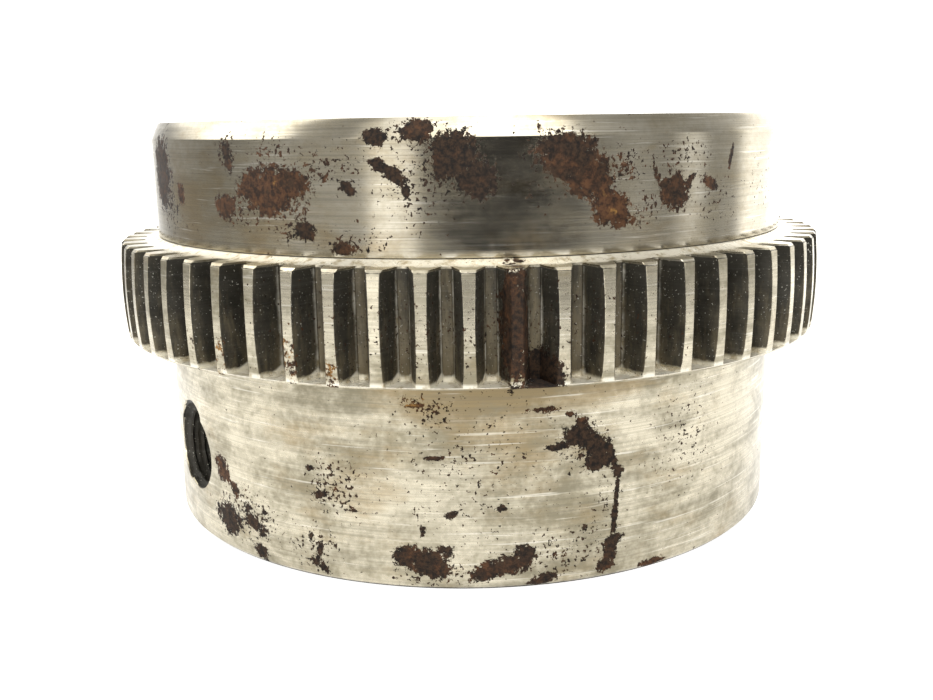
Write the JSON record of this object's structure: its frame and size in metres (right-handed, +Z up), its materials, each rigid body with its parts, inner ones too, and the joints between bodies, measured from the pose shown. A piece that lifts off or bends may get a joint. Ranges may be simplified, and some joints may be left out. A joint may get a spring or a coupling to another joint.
{
  "type": "slewing ring bearing",
  "caption": "Slewing ring bearing: external gear teeth on a skirted outer ring, and an overhanging flanged inner ring that turns on caged balls between lip seals.",
  "frame": {"origin": "on the axis of rotation, in the plane of the outer ring's lower face", "axes": "+Z up along the axis of rotation, from the skirt towards the flange; the tapped port in the skirt lies 57 degrees from -Y towards -X"},
  "size_m": [0.1918, 0.192, 0.1037],
  "materials": {
    "gear_steel": "turned steel, worn and rusted in patches, dark in the tooth spaces",
    "ring_steel": "fine turned steel with rust patches",
    "ball_steel": "polished hardened steel",
    "cage_brass": "machined, greasy",
    "seal_rubber": "matt black",
    "plug_steel": "machined",
    "pin_steel": "ground",
    "nipple_plating": "plated, slightly greasy"
  },
  "bodies": {
    "outer_ring": {"outer_ring_gear": "gear_steel", "upper_seal": "seal_rubber", "lower_seal": "seal_rubber"},
    "inner_ring": {"inner_ring": "ring_steel", "ball_filling_plug": "plug_steel", "taper_pin": "pin_steel", "grease_nipple_1": "nipple_plating", "grease_nipple_2": "nipple_plating", "grease_nipple_3": "nipple_plating", "grease_nipple_4": "nipple_plating"},
    "cage_and_balls": {"ball_cage": "cage_brass", "ball_01": "ball_steel", "ball_02": "ball_steel", "ball_03": "ball_steel", "ball_04": "ball_steel", "ball_05": "ball_steel", "ball_06": "ball_steel", "ball_07": "ball_steel", "ball_08": "ball_steel", "ball_09": "ball_steel", "ball_10": "ball_steel", "ball_11": "ball_steel", "ball_12": "ball_steel", "ball_13": "ball_steel", "ball_14": "ball_steel", "ball_15": "ball_steel", "ball_16": "ball_steel", "ball_17": "ball_steel", "ball_18": "ball_steel", "ball_19": "ball_steel", "ball_20": "ball_steel", "ball_21": "ball_steel", "ball_22": "ball_steel"}
  },
  "joints": [
    {"name": "inner_ring_spin", "type": "hinge", "parent": "outer_ring", "child": "inner_ring", "pos_m": [0, 0, 0.0615], "axis": [0, 0, 1], "continuous": true},
    {"name": "cage_spin", "type": "hinge", "parent": "outer_ring", "child": "cage_and_balls", "pos_m": [0, 0, 0.0615], "axis": [0, 0, 1], "continuous": true}
  ],
  "couplings": [
    {"joint": "cage_spin", "follows": "inner_ring_spin", "ratio": 0.4584}
  ]
}
